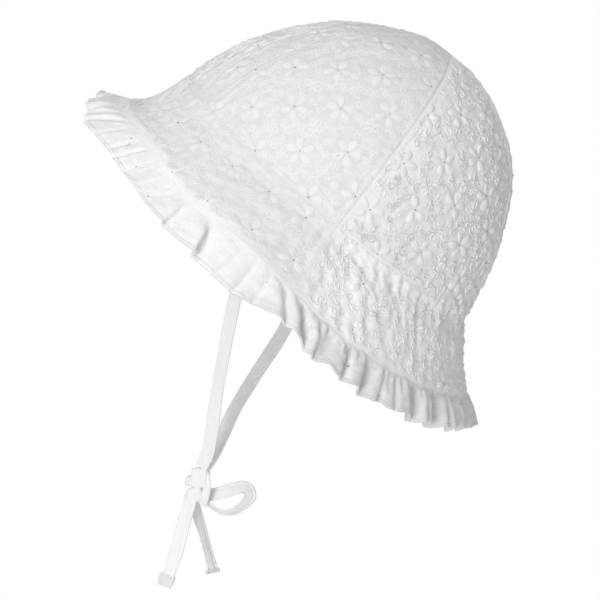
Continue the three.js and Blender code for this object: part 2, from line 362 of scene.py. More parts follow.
tape_cotton, start = new_material("tape_cotton")
place = start.node("Attribute", {"attribute_name": "cloth"}, {}, "Vector")
across, along, hem = place.split()
crumple = start.noise(place, 0.35, 4, 0.6)
streaks = start.noise(start.node("Mapping", {}, {"Vector": place, "Scale": (1.5, 0.07, 1)}), 1, 3, 0.6)
tone = (streaks * 0.6 + crumple * 0.4 - 0.5) * 2.2 + 0.5
from_line = start.math("ABSOLUTE", across - tape_stitch_line * tape_width / mm)
stitched = start.math("LESS_THAN", from_line, 0.28) * start.math("MAXIMUM", along.sine(2.9), 0)
relief = along.sine(14) * 0.12 + across.sine(17) * 0.12 + crumple * 1.6 + streaks * 2 + stitched * 0.5
weave_bump = start.node("Bump", {}, {"Strength": 0.5, "Distance": 0.12 * mm, "Height": relief})
tape_white = tone.blend(off_white(0.82), off_white(0.92))
hem_white = tone.blend(off_white(0.62), off_white(0.84))
start.finish("BsdfPrincipled", {
    "Base Color": hem.blend(tape_white, hem_white),
    "Roughness": 0.82, "Sheen Weight": 0.15, "Sheen Roughness": 0.5, "Normal": weave_bump})

routes = {
    # x, y and z in metres, and how far the tape is turned there, in degrees
    "tie_left": [
        (-0.0549, -0.0681, -0.055, 0), (-0.0588, -0.0684, -0.0596, 0), (-0.0648, -0.0668, -0.0688, 2),
        (-0.0728, -0.0605, -0.0826, 4), (-0.0816, -0.0516, -0.096, 6), (-0.0888, -0.043, -0.1078, 8),
        (-0.0946, -0.035, -0.1221, 8), (-0.0999, -0.027, -0.1372, 8), (-0.1039, -0.021, -0.1486, 8),
        (-0.1072, -0.016, -0.159, 6), (-0.1104, -0.011, -0.172, 4), (-0.114, -0.0062, -0.184, 2),
        (-0.1186, -0.0026, -0.1917, 0),
    ],
    "tie_right": [
        (-0.0549, 0.0679, -0.055, 0), (-0.0588, 0.0682, -0.0596, 0), (-0.0654, 0.0664, -0.071, -2),
        (-0.0736, 0.0602, -0.0895, -4), (-0.0826, 0.0512, -0.1098, -6), (-0.0915, 0.041, -0.1302, -8),
        (-0.0974, 0.034, -0.1418, -8), (-0.1034, 0.027, -0.1536, -8), (-0.1086, 0.02, -0.165, -6),
        (-0.1126, 0.013, -0.177, -4), (-0.1154, 0.007, -0.186, -2), (-0.118, 0.0024, -0.1919, 0),
    ],
    "bow_loop": [
        (-0.1201, 0.0035, -0.2056, -8), (-0.116, 0.0035, -0.2056, -10), (-0.1104, 0.003, -0.2045, -14),
        (-0.1039, 0.0015, -0.2025, -18), (-0.0984, -0.0005, -0.2013, -24),
        (-0.0951, -0.0015, -0.2029, -38), (-0.095, -0.001, -0.2062, -44), (-0.0987, 0.0005, -0.21, -56),
        (-0.1046, 0.002, -0.2134, -66), (-0.1109, 0.003, -0.2133, -66), (-0.116, 0.0035, -0.2104, -60),
        (-0.1201, 0.0035, -0.208, -54),
    ],
    "bow_tail_left": [
        (-0.1243, -0.0006, -0.2049, 4), (-0.1243, -0.003, -0.2091, 4), (-0.1256, -0.0045, -0.2147, 2),
        (-0.1273, -0.0055, -0.2218, 0), (-0.1295, -0.0062, -0.2309, -2), (-0.1327, -0.0064, -0.24, -4),
        (-0.1361, -0.006, -0.2488, -8),
    ],
    "bow_tail_right": [
        (-0.1242, 0.004, -0.2058, -54), (-0.1239, 0.0046, -0.2101, -58), (-0.1227, 0.0054, -0.2159, -62),
        (-0.1204, 0.0062, -0.2246, -62), (-0.118, 0.0066, -0.2333, -60), (-0.116, 0.0066, -0.2404, -54),
        (-0.1155, 0.0066, -0.2433, -52),
    ],
}
for seed, name in enumerate(("tie_left", "tie_right")):
    shape = tape_shape(routes[name], 150, seed=seed)
    add_piece(name + "_tape", shape, [tape_cotton], [name])


# Half bow. The cotton tapes are tied in a knot under the chin: a square wrap over two
# soft turns of tape, with one loop to the back and two free ends with folded, sewn hems.
knot_middle = np.array([-121.0, 0, -201.2]) * mm
knot_turns = [
    # middle and half size in millimetres, squareness, turn in degrees
    ((1.5, -0.9, 4.3), (4.2, 3.5, 4.9), 5, 2),
    ((-4.1, 0.4, 2.6), (2.3, 2.6, 2.7), 2.6, 20),
    ((-1.3, -0.3, -4.0), (4.1, 3.3, 3.9), 3.2, -6),
]
wrap_route = [
    (-0.118, 0.0012, -0.1932, 60), (-0.1164, -0.0016, -0.1952, 40), (-0.1156, -0.003, -0.199, 24),
    (-0.1158, -0.0031, -0.2036, 18), (-0.1172, -0.0021, -0.2076, 10), (-0.1186, -0.0004, -0.2102, 0),
]


def knot_turn(middle, half_size, square, turn):
    """One turn of the knot: a soft box with rounded corners."""
    box = bmesh.new()
    bmesh.ops.create_cube(box, size=2)
    bmesh.ops.subdivide_edges(box, edges=box.edges[:], cuts=19, use_grid_fill=True)
    for vert in box.verts:
        size = sum(abs(part) ** square for part in vert.co) ** (1 / square)
        corner = vert.co / size
        dent = 1 - 0.05 * math.cos(3.1 * corner.x + 2.3 * corner.z) * math.cos(2.6 * corner.y)
        dent -= 0.07 * math.exp(-((corner.x + 0.25 * corner.z - 0.35) / 0.09) ** 2)
        dent -= 0.05 * math.exp(-((corner.x - 0.2 * corner.z + 0.5) / 0.08) ** 2)
        vert.co = corner * Vector(half_size) * dent * mm
    matrix = Matrix.Translation(Vector(knot_middle) + mm * Vector(middle))
    bmesh.ops.transform(box, matrix=matrix @ Matrix.Rotation(math.radians(turn), 4, "Y"), verts=box.verts)
    cloth = box.verts.layers.float_vector.new("cloth")
    for vert in box.verts:
        vert[cloth] = ((vert.co.x - knot_middle[0]) / mm, (vert.co.z - knot_middle[2]) / mm, 0)
    return box


shape = bmesh.new()
turns = [knot_turn(*row) for row in knot_turns]
turns.append(tape_shape(wrap_route, 30, width=4.2 * mm, seed=8))
for part in turns:
    part_mesh = bpy.data.meshes.new("knot_part")
    part.to_mesh(part_mesh)
    part.free()
    shape.from_mesh(part_mesh)
bow_knot = add_piece("knot_turns", shape, [tape_cotton], ["bow_knot"])

bow_loop = add_piece(
    "loop_tape", tape_shape(routes["bow_loop"], 90, seed=3), [tape_cotton], ["bow_loop"])
tail_left = add_piece(
    "left_end_tape", tape_shape(routes["bow_tail_left"], 60, seed=4, hem=0.12),
    [tape_cotton], ["bow_tail_left"])
tail_right = add_piece(
    "right_end_tape", tape_shape(routes["bow_tail_right"], 50, seed=5, hem=0.14),
    [tape_cotton], ["bow_tail_right"])


def centre_line(name):
    """The points of a tape's middle, close enough together to have its length."""
    return tape_frame(routes[name], np.linspace(0, 1, 60))[0].tolist()


centre_line("tie_left")
centre_line("tie_right")


# Crown. Five gores of embroidered cotton meet at the tip. At each seam both edges are
# turned in, the allowance is pressed towards the back and topstitched flat. At the nape
# the lower edge is drawn in, and at the front the cloth is pushed into fine creases.
tilt = math.radians(40.5)
seat_height = 123.5
crown_lift = 0.4
crown_wall = 0.8
seam_dip = 0.2
seam_reach = 4
tip_reach = 1.6
allowance_wide = 6.6
allowance_rise = 0.3
stitch_line = 1.6
crown_sections = smooth_table([
    # height, front, side, back
    (126.7, 1.6, 1.6, 1.6), (126.1, 9, 8.5, 10.5), (123.4, 19.2, 18, 22.6), (117.6, 31, 29, 37.2),
    (108.8, 45.6, 41, 50.4), (97.5, 58.4, 51, 61.2), (84.3, 69.4, 59, 68.8), (70, 78.6, 65, 75.6),
    (55.5, 85.2, 68.6, 79.6), (41.3, 89.4, 70.9, 82.4),
])
front_seam = 46
side_seam = 108
crown_seams = np.radians([-side_seam, -front_seam, front_seam, side_seam, 180])
crown_run = 130
crown_rows = 110
crease_radius = 80
nape_radius = 85
nape_turn = math.radians(26)
nape_reach = 12
panel_steps = 121
gores = {
    # azimuths of its seams, columns, seed
    "crown_front": (-front_seam, front_seam, 144, 11),
    "crown_side_left": (front_seam, side_seam, 100, 12),
    "crown_back_left": (side_seam, 180, 110, 13),
    "crown_back_right": (-180, -side_seam, 110, 14),
    "crown_side_right": (-side_seam, -front_seam, 100, 15),
}
front_lines = [
    # azimuth and millimetres down at each end, half width, depth
    (8, 62, 15, 133, 1.1, 1.1), (14, 48, 22, 133, 1.1, 1.3), (19, 70, 28, 132, 1, 1.3),
    (24, 40, 33, 124, 1.2, 1.2), (29, 60, 38, 128, 1.1, 0.8), (2, 80, 5, 133, 1, 0.8),
    (33, 30, 36, 66, 1, 0.6), (11, 30, 13, 70, 1.1, 1.2), (18, 96, 24, 133, 0.9, 1.3),
    (-6, 70, -4, 133, 1, 0.7), (-14, 50, -17, 130, 1, 0.6), (5, 100, 11, 134, 0.8, 1),
    (20, 22, 19, 128, 1.1, 1.3), (24, 20, 24, 108, 1, 1.2), (29, 34, 29, 92, 0.9, 0.8),
    (17, 44, 15, 133, 1.1, 1.4), (22, 60, 22, 134, 1, 1.2), (26, 90, 29, 134, 0.9, 1.3),
]


def worn(points):
    """Tilts points of the level hat, in millimetres from its rim's middle, to its worn place."""
    x, y, z = np.moveaxis(points, -1, 0)
    above = z - seat_height
    forward = x * math.cos(tilt) + above * math.sin(tilt)
    return mm * np.stack([forward, y, above * math.cos(tilt) - x * math.sin(tilt)], axis=-1)


def ring_point(azimuth, reach_front, reach_side, reach_back, rise_front, rise_side, rise_back):
    """A point on the ring that a section makes round the hat: azimuth 0 is the front."""
    forward = np.cos(azimuth)
    reach = np.where(forward > 0, reach_front, reach_back)
    rise = np.where(forward > 0, rise_front, rise_back)
    height = rise_side + (rise - rise_side) * forward ** 2
    return np.stack([-reach * forward, -reach_side * np.sin(azimuth), height], axis=-1)


def turn_from(centre, azimuth):
    """The angle from one azimuth to another, the short way round."""
    return (azimuth - centre + np.pi) % (2 * np.pi) - np.pi


def off_front(azimuth):
    """How far an azimuth is from the front, on either side."""
    return np.abs(turn_from(0, azimuth))


def crown_surface(azimuth, down):
    """The middle of the crown's cloth, down from 0 at the tip to 1 at the brim seam."""
    height, front, side, back = crown_sections(down)
    close = tip_reach * np.clip(1 - down / 0.09, 0, 1) ** 2
    point = ring_point(azimuth, front - close, side - close, back - close, height, height, height)
    radius = np.hypot(point[..., 0], point[..., 1])
    fade = np.minimum(1, radius / 12) * np.clip((1 - down) * 8, 0, 1)
    from_seam = np.min([np.abs(turn_from(seam, azimuth)) * radius for seam in crown_seams], axis=0)
    inward = -unit(point - np.array([0, 0, 40]))
    return point + inward * (seam_dip * fade * bell(from_seam, seam_reach))[..., None]


def crumples(u, v, seed, longest=34, shortest=9, count=14):
    """Soft unevenness of cloth, about -1 to 1, from waves in many directions."""
    dice = np.random.default_rng(seed)
    total = 0
    for _ in range(count):
        heading, phase = dice.uniform(0, 2 * np.pi, 2)
        length = dice.uniform(shortest, longest)
        total = total + length / longest * np.sin(
            2 * np.pi * (u * np.cos(heading) + v * np.sin(heading)) / length + phase)
    return total / math.sqrt(count) * 1.2


def creases(azimuth, v, radius, rows):
    """Creases along straight lines in the cloth, on both sides of the hat, with soft ends."""
    total = 0
    for side in (-1, 1):
        x = side * turn_from(0, azimuth) * radius
        for start_turn, start_down, end_turn, end_down, reach, depth in rows:
            x_start = math.radians(start_turn) * radius
            x_run = math.radians(end_turn - start_turn) * radius
            v_run = end_down - start_down
            length = np.hypot(x_run, v_run)
            along = ((x - x_start) * x_run + (v - start_down) * v_run) / length ** 2
            beside = ((x - x_start) * v_run - (v - start_down) * x_run) / length
            beside = beside + 0.5 * reach * np.sin(along * 7 + start_turn)
            ends = ramp(along, -0.1, 0.25) * (1 - ramp(along, 0.75, 1.1))
            total = total - depth * ends * (bell(beside, reach) - 0.4 * bell(beside - 1.7 * reach, reach))
    return total


def nape_gathers(azimuth, from_seam):
    """Small gathers where the nape is drawn in."""
    from_back = turn_from(np.pi, azimuth)
    across = from_back * nape_radius
    waves = (np.sin(across / 0.9 + 1.4 * np.sin(across / 3.1 + 0.14 * from_seam))
             + 0.7 * np.sin(across / 0.55 + 1 + 0.2 * from_seam)
             + 0.8 * np.sin(from_seam / 0.9 + across / 2))
    return waves * bell(from_back, nape_turn) * bell(from_seam, nape_reach)


def seam_lumps(azimuth, from_seam):
    """The uneven pull of the seam between crown and neck flap, the same on both sides of it."""
    across = turn_from(np.pi, azimuth) * nape_radius
    waves = np.sin(across / 2.6 + 1.2 * np.sin(across / 7)) + 0.7 * np.sin(across / 1.3 + 2 + from_seam / 4)
    return waves * bell(from_seam, 5) * ramp(off_front(azimuth), 1.95, 2.3)


class Panel:
    """A cut piece of cloth on the hat, from seam to seam across and from top to bottom down."""

    def __init__(self, surface, relief, start, end, lift, inner, strip=False, flat=None, paleness_and_painted_light=None):
        self.surface = surface
        self.flat = flat or surface
        self.relief = relief
        self.start = math.radians(start)
        self.end = math.radians(end)
        self.lift = lift
        self.inner = inner
        # Besides its place, each point of the cloth gets a paleness: partly the cloth's own, partly painted
        # light and shade.
        self.paleness_and_painted_light = paleness_and_painted_light or (lambda azimuth, down: 0 * down)
        self.downs = np.linspace(0, 1, panel_steps)
        azimuths = np.linspace(self.start, self.end, panel_steps)
        grid = self.flat(azimuths[:, None] + 0 * self.downs, self.downs + 0 * azimuths[:, None])
        self.widths = np.linalg.norm(np.diff(grid, axis=0), axis=-1).sum(axis=0)
        if strip:
            self.widths[:] = self.widths.mean()
        middle_line = grid[panel_steps // 2]
        self.runs = np.concatenate([[0], np.cumsum(np.linalg.norm(np.diff(middle_line, axis=0), axis=-1))])

    def cloth_place(self, across, down):
        """Millimetres of cloth from the middle line and from the top edge."""
        width = np.interp(down, self.downs, self.widths)
        return (across - 0.5) * width, np.interp(down, self.downs, self.runs)

    def share_place(self, u, v):
        """The shares across and down for a place in millimetres of cloth."""
        down = np.interp(v, self.runs, self.downs)
        return 0.5 + u / np.maximum(np.interp(down, self.downs, self.widths), 1e-6), down

    def outward(self, azimuth, down):
        """The way out of the cloth."""
        step = 2e-4
        east = self.surface(azimuth + step, down) - self.surface(azimuth - step, down)
        south = self.surface(azimuth, down + step) - self.surface(azimuth, down - step)
        return unit(np.cross(south, east))

    def lay(self, across, down, height):
        """Points on the panel, in metres. height is 0 on the outer face, in millimetres."""
        azimuth = self.start + (self.end - self.start) * across
        u, v = self.cloth_place(across, down)
        height = height + self.lift + self.relief(azimuth, down, u, v)
        base = self.surface(azimuth, down)
        return worn(base + self.outward(azimuth, down) * height[..., None])

    def flat_frame(self, here, ahead):
        """The shares that a millimetre takes at one place: x runs ahead, y beside it."""
        step = 2e-3
        steps = np.array([(step, 0), (-step, 0), (0, step), (0, -step)]) + here
        points = self.flat(self.start + (self.end - self.start) * steps[:, 0], steps[:, 1])
        sides = (points[0::2] - points[1::2]) / (2 * step)
        east = unit((np.array(ahead) - here) @ sides)
        north = np.cross(unit(np.cross(sides[1], sides[0])), east)
        return np.linalg.solve(sides @ sides.T, sides @ np.array([east, north]).T)

    def slab(self, columns, rows, crowd_across=0.6, crowd_down=0.5, above=0):
        """The panel's own cloth as a closed slab, which may start above the panel's top."""
        slab = cloth_slab(columns, rows)

        def place(x, y, z):
            across = 0.5 + crowd(x, crowd_across)
            down = -above + (1 + above) * (0.5 - crowd(y, crowd_down))
            u, v = self.cloth_place(across, down)
            points = self.lay(across, down, (z - 1) * self.inner(across, down, u, v))
            paleness_and_painted_light = self.paleness_and_painted_light(self.start + (self.end - self.start) * across, down)
            return points, np.stack([u, v, paleness_and_painted_light], axis=-1)

        bend(slab, place)
        return slab


def seam_relief(from_seam, stitched_to):
    """How a sewn seam shapes the cloth beside it. stitched_to is 1 on the allowance's side."""
    beside = from_seam * stitched_to
    past = ramp(beside, allowance_wide - 3, allowance_wide + 2)
    band = allowance_rise * ramp(beside, -1, 1.4) * (1 - past)
    return band + 0.24 * bell(beside + stitch_line, 0.5) + 0.2 * bell(beside - 0.5, 0.5)


def corded_relief(from_seam):
    """The centre back seam: a raised line of stitching on either side."""
    beside = np.abs(from_seam)
    band = 0.2 * (1 - ramp(beside, 4.4, 5.6))
    return band + 1.2 * bell(beside - 1.7, 0.65) - 0.5 * bell(beside, 0.5)


def crown_relief(seed):
    """The height of a gore's cloth above its smooth shape, with seams, creases and gathers."""
    def relief(azimuth, down, u, v):
        _, front, side, back = crown_sections(down)
        radius = np.where(np.cos(azimuth) > 0, (front + side) / 2, (back + side) / 2)
        to_rim = (1 - down) * crown_run
        to_seams = [np.abs(turn_from(seam, azimuth)) * radius for seam in crown_seams]
        to_edge = np.min(to_seams + [to_rim], axis=0)
        behind = ramp(off_front(azimuth), 1.88, 2.3)
        total = 0.3 * crumples(u, v, seed) + (0.24 + 0.2 * behind) * crumples(u, v, seed + 40, 8, 3, 24)
        total = total * ramp(to_edge, 0, 4)
        for seam in crown_seams[:-1]:
            total = total + seam_relief(turn_from(seam, azimuth) * radius, np.sign(seam))
        total = total + corded_relief(turn_from(crown_seams[-1], azimuth) * radius)
        total = total * ramp(radius, 3, 14)
        total = total + creases(azimuth, v, crease_radius, front_lines)
        return total + 0.12 * seam_lumps(azimuth, to_rim) + 0.5 * nape_gathers(azimuth, to_rim)
    return relief


def crown_paleness_and_painted_light(azimuth, down):
    """The back is painted paler as painted light that offsets its shade, and the pressed allowance behind
    each side seam shows as a pale band.
    """
    behind = ramp(off_front(azimuth), 1.8, 2.0)
    _, _, side, back = crown_sections(down)
    beside = turn_from(math.radians(side_seam), off_front(azimuth)) * (side + back) / 2
    band = ramp(beside, -0.5, 1) * (1 - ramp(beside, allowance_wide - 2, allowance_wide + 2))
    # The back's 0.3 is painted light; the band is the cloth's own paleness.
    return 0.3 * behind + 0.4 * band


def crown_inner(across, down, u, v):
    """How far the inner face lies below the outer one: the allowances make it thicker."""
    width = np.maximum(u / np.where(np.abs(across - 0.5) < 1e-6, 1, across - 0.5), 1)
    to_seam = (0.5 - np.abs(across - 0.5)) * width
    return crown_wall + 0.5 * (1 - ramp(to_seam, 5.5, 6.5)) * ramp(v, 8, 20)


cotton, start = new_material("white_cotton")
place = start.node("Attribute", {"attribute_name": "cloth"}, {}, "Vector")
across, down, paleness_and_painted_light = place.split()
slubs = start.noise(start.node("Mapping", {}, {"Vector": place, "Scale": (0.25, 2.2, 1)}), 1, 3)
mottle = start.noise(place, 0.22, 5, 0.65)
grain = start.noise(place, 0.7, 3, 0.55)
relief = across.sine(15) * 0.2 + down.sine(15) * 0.2 + slubs * 1.1 + mottle * 1.6 + grain * 2.6
weave_bump = start.node("Bump", {}, {"Strength": 0.55, "Distance": 0.2 * mm, "Height": relief})
tone = (mottle * 0.7 + slubs * 0.3 - 0.5) * 2.4 + 0.5
# These two whites mix by the cloth's third number. The turned edge and the pressed allowances are paler
# cloth of their own. The crown's back and the neck flap are painted paler as painted light that offsets
# their shade, and the ruffle's tip is painted darker as painted shade of its folds.
stitched_and_painted_shade_white = tone.blend(off_white(0.705), off_white(0.81))
plain_and_painted_light_white = mottle.blend(off_white(0.88), off_white(0.96))
start.finish("BsdfPrincipled", {
    "Base Color": paleness_and_painted_light.blend(stitched_and_painted_shade_white, plain_and_painted_light_white),
    "Roughness": 0.88, "Sheen Weight": 0.12, "Sheen Roughness": 0.5, "Normal": weave_bump})

panels = {}
for name, (start_turn, end_turn, columns, seed) in gores.items():
    panel = Panel(crown_surface, crown_relief(seed), start_turn, end_turn, crown_lift, crown_inner,
                  paleness_and_painted_light=crown_paleness_and_painted_light)
    shape = panel.slab(columns, crown_rows)
    bmesh.ops.remove_doubles(shape, verts=shape.verts, dist=0.02 * mm)
    add_piece(name + "_cloth", shape, [cotton], [name])
    panels[name] = panel


# Brim and neck flap. Two layers of the same cloth, sewn to the crown and to each other
# at the side seams. The front part is short and flares, the back part hangs over the
# neck. The front's lower edge is turned over a smooth facing, which makes a pale roll.
brim_lift = 0.4
brim_wall = 0.8
brim_run = 40
brim_rows = 60
turned_wide = 6
brim_sections = smooth_table([
    # front, its height, side, its height, back, its height
    (89.4, 41.3, 70.9, 41.3, 82.4, 41.3), (91.8, 33.6, 73.9, 34.6, 84.9, 34.3),
    (93.9, 26.6, 79.8, 28.5, 90.6, 27.5), (96.4, 20.4, 84.6, 22.4, 95.8, 20.5),
    (100.8, 15.2, 89.2, 16.6, 101.4, 14.5), (107, 11.6, 93.5, 11.5, 107.8, 9.8),
])
rim_wave = smooth_table([
    # out and drop at each 15 degrees away from the front, on either side
    (0, 0), (0.4, 0.4), (-0.6, -0.2), (-3.6, -1.4), (-1.4, 2.2), (1.6, 3.4), (0, 0.6), (0.4, 1.6),
    (1.2, 4.4), (1.2, 4.4), (0.8, 3.2), (0.4, 1.4), (0, 0),
])
brim_folds = [
    # azimuth, half width, how far down it is deepest, depth
    (64, 5, 0.85, -1.1), (99, 4, 0.6, 0.9), (116, 5, 0.45, 0.9), (128, 5, 0.5, -1), (150, 5, 0.4, 1),
    (166, 4, 0.2, 1.2), (-64, 5, 0.85, -1.1), (-102, 4, 0.6, 0.9), (-119, 5, 0.45, 0.9),
    (-150, 5, 0.4, 1), (-166, 4, 0.2, 1.2),
]
brim_lines = [
    # azimuth and millimetres down at each end, half width, depth
    (-5, -4, -4, 40, 1.1, 1), (1, -4, 2, 42, 1.2, 1.4), (6, -4, 8, 42, 1.2, 1.6),
    (10, -4, 14, 42, 1.3, 1.8), (15, -4, 20, 38, 1.3, 1.7), (21, -4, 27, 30, 1.2, 1.3),
    (28, 0, 36, 30, 1.1, 0.8), (17, 12, 26, 40, 1.6, 1.6), (20, -6, 24, 22, 1.5, 1.6),
    (25, -6, 31, 18, 1.3, 1.2), (42, 22, 52, 34, 1, 0.3), (96, 6, 92, 30, 1.4, 0.35),
    (101, 10, 98, 34, 1.8, 0.5), (106, 5, 105, 30, 1.8, 0.45), (112, 8, 114, 36, 2.2, 0.55),
    (116, 10, 120, 30, 2.2, 0.4), (114, 4, 133, 19, 1.5, 0.7), (120, 14, 124, 38, 1.9, 0.5),
    (126, 14, 130, 36, 1.8, 0.5), (131, 0, 142, 24, 1.6, 0.7), (134, 20, 141, 38, 1.6, 0.5),
    (146, 4, 150, 26, 1.5, 0.6), (153, 8, 157, 36, 1.4, 0.5), (161, 2, 164, 22, 1.2, 0.6),
    (168, 3, 170, 26, 1, 0.7), (175, 2, 176, 30, 1, 0.8),
]


def brim_surface(azimuth, down):
    """The middle of the brim's cloth, down from 0 at the crown seam to 1 at the rim."""
    behind = ramp(off_front(azimuth), 1.8, 2.1) * ramp(down, 0.8, 1)
    uneven = np.sin(41 * azimuth + np.sin(13 * azimuth)) + 0.7 * np.sin(93 * azimuth)
    down = down * (1 + 0.012 * behind * uneven)
    front, front_high, side, side_high, back, back_high = brim_sections(down)
    point = ring_point(azimuth, front, side, back, front_high, side_high, back_high)
    outward = unit(point * np.array([1, 1, 0]))
    out, drop = rim_wave(off_front(azimuth) / np.pi)
    fade = np.clip(down * 7, 0, 1) * np.clip((1 - down) * 7, 0, 1)
    swing = out * down ** 2
    for centre, spread, middle, depth in brim_folds:
        beside = turn_from(math.radians(centre), azimuth)
        swing = swing - depth * fade * (bell(beside, math.radians(spread)) * bell(down - middle, 0.35))
    point = point + outward * swing[..., None]
    return point - np.array([0, 0, 1]) * (drop * down ** 2)[..., None]


def turned_edge(azimuth, down):
    """How far the turned edge stands proud, on either face: the flap has almost none."""
    from_edge = (1 - down) * brim_run
    at_front = 1 - ramp(off_front(azimuth), math.radians(92), math.radians(106))
    return 0.2 * at_front * bell(from_edge - 0.6 * turned_wide, 0.35 * turned_wide)


def edge_rounding(down):
    """The share of the cloth's thickness that is left where it rounds off at the rim."""
    from_edge = np.clip((1 - down) * brim_run / 0.2, 0, 1)
    return np.sqrt(np.clip(1 - (1 - from_edge) ** 2, 0.02, 1))


def brim_relief(seed):
    """The height of the brim's cloth above its smooth shape."""
    def relief(azimuth, down, u, v):
        inside = 1 - ramp(down, 0.84, 0.9)
        at_back = ramp(off_front(azimuth), math.radians(100), math.radians(116))
        crinkle = (0.2 + 0.24 * at_back) * crumples(u, v, seed + 40, 8, 3, 24)
        streaks = at_back * 0.15 * crumples(u, 0.25 * v, seed + 80, 5, 2, 20)
        total = 0.34 * crumples(u, v, seed) + crinkle + streaks
        total = total * (0.35 + 0.65 * np.maximum(inside, at_back))
        from_sides = [turn_from(math.radians(side * side_seam), azimuth) * nape_radius for side in (-1, 1)]
        total = total * ramp(np.min([v, np.abs(from_sides[0]), np.abs(from_sides[1])], axis=0), 0, 4)
        for side, from_side in zip((-1, 1), from_sides):
            total = total + 0.4 * seam_relief(from_side, side)
        total = total + creases(azimuth, v, nape_radius, brim_lines)
        total = total + 0.12 * seam_lumps(azimuth, v) + 0.5 * nape_gathers(azimuth, v)
        total = total * ramp((1 - down) * brim_run, 0.4, 3)
        return (brim_lift + total + turned_edge(azimuth, down)) * edge_rounding(down) - brim_lift
    return relief


def brim_paleness_and_painted_light(azimuth, down):
    """How pale the cloth is: 1 on the turned edge across the front, less on the flap, whose paleness is
    painted light that offsets its shade.
    """
    away = np.degrees(off_front(azimuth))
    band = 1 - ramp((1 - down) * brim_run, turned_wide - 1, turned_wide + 2)
    # The flap's 0.65 is painted light; the turned edge's band is its facing's own paleness.
    return 0.1 + 0.65 * ramp(away, 104, 114) + 0.9 * band * (1 - ramp(away, 80, 102))


def brim_inner(start_turn, end_turn):
    """How far the brim's inner face lies below the outer one."""
    def inner(across, down, u, v):
        azimuth = np.radians(start_turn + (end_turn - start_turn) * across)
        return (brim_wall + 2 * turned_edge(azimuth, down)) * edge_rounding(down)
    return inner


halves = {"front": (-side_seam, side_seam), "back": (side_seam, 360 - side_seam)}
for half, columns, seed in (("front", 380, 21), ("back", 300, 22)):
    name = "brim_" + half
    panel = Panel(brim_surface, brim_relief(seed), *halves[half], brim_lift, brim_inner(*halves[half]),
                  strip=True, paleness_and_painted_light=brim_paleness_and_painted_light)
    shape = panel.slab(columns, brim_rows, 0.3, 0.6)
    add_piece(name + "_cloth", shape, [cotton], [name])
    panels[name] = panel


# Ruffle. One layer of the same cloth, cut about a third longer than the rim, gathered
# and sewn under the turned edge. It lies in soft folds at the front and in deep pleats
# at the back. Its free edge has a narrow rolled hem.
ruffle_lift = 0.4
ruffle_wall = 0.6
ruffle_columns_per_degree = 2.6
ruffle_rows = 28
rim_radius = 95
ruffle_shape = smooth_table([
    # width, out, down and unevenness at each 12 degrees away from the front
    (16, 11.5, 12.8, 0.5), (15.7, 11.5, 12.8, 0.5), (15.8, 11.4, 12.9, 0.45), (20, 11.2, 13, 0.4),
    (17.8, 11, 13, 0.35), (14.8, 11, 13.1, 0.35), (15.2, 11.2, 13.2, 0.35), (19.2, 11.4, 13.4, 0.4),
    (22, 11.6, 13.5, 0.4), (14.4, 11.8, 13.4, 0.5), (16, 11.9, 13.2, 0.6), (17.2, 12, 12.9, 0.7),
    (16.5, 12.2, 12.4, 0.7), (15.7, 12.5, 11.5, 0.8), (15, 12.7, 10.6, 0.8), (14.5, 12.8, 10, 0.8),
])
pleats = [
    # azimuth, half width, depth, where it starts, lean
    (-13, 2.2, 4, 0, 0), (-4, 2.2, 4.6, 0, 1), (5, 2.2, 5.6, 0, 0), (14, 2.2, 5.6, 0, -1),
    (20.5, 2, 7.4, 0, -1), (26, 2, 7, 0, 0), (32, 2, 6, 0, 6), (37.5, 1.9, 3.2, 0, 9),
    (41, 2, 0.7, 0.1, 0), (48, 1.3, 1.3, 0, 1), (52, 1.3, 1.3, 0, 1), (57, 1.5, 0.8, 0.2, 0),
    (69, 3, 0.8, 0.2, 0), (92.5, 1.1, 1.3, 0, 1), (97, 1.4, 1.4, 0, 0), (101, 1.4, 1, 0, -1),
    (105.5, 2.6, 4.6, 0, -8), (111, 3.4, 6.6, 0, -9), (116.5, 1.5, 2.4, 0, -6), (121.5, 3.6, 7.4, 0, 3),
    (126.5, 1.7, 3.6, 0, -1), (133.5, 3.2, 6.6, 0, 1), (138.5, 1.4, 1.6, 0.3, 1),
    (142.5, 1.5, 1.8, 0.1, 0), (149.5, 3.4, 7.8, 0, -1), (154.5, 1.6, 3, 0.1, 0.5),
    (159, 3.2, 8.2, 0, 1), (164, 1.6, 3.4, 0, 1), (168.5, 2.9, 7.6, 0, 0), (176, 3.2, 8, 0, 0),
    (-22, 1.8, 3.4, 0, 1), (-31, 2, 2.6, 0.1, 0), (-43, 2, 2.2, 0, 0), (-55, 2, 2, 0.1, 1),
    (-63, 2, 1.6, 0, 0), (-78, 1.8, 2, 0.1, -1), (-90, 2, 2.4, 0, 0), (-97, 1.9, 2.8, 0, 0),
    (-103.5, 2.1, 3.6, 0, 0.5), (-110, 2.4, 5.7, 0, 0), (-116, 1.6, 2.6, 0.1, 0),
    (-122, 2.6, 6.2, 0, -1), (-129, 2.1, 4.4, 0, 0), (-135, 1.6, 2.6, 0, 0), (-141, 2.5, 6.2, 0.1, 1),
    (-148, 2, 4.4, 0, 0), (-154, 1.6, 2.6, 0, 0), (-160, 2.5, 6.5, 0, -0.5), (-166, 1.8, 3.4, 0.1, 0),
    (-172, 2.4, 6.2, 0, 0), (-178, 1.6, 3.4, 0, 0.5),
]
rolls = [
    # azimuth, half width, height of the step, overlap, lean
    (74.5, 1.6, 2, 2.6, -2), (82.2, 2.3, 3.6, 4.6, -6), (63, 2, 0.7, 0.8, 0), (-71, 2.2, 1.6, 2.2, 0),
    (-83, 2.4, 2.2, 3.4, -3),
]
corner_turn = -2
corner_height = 4.8
tuck_turn = 104


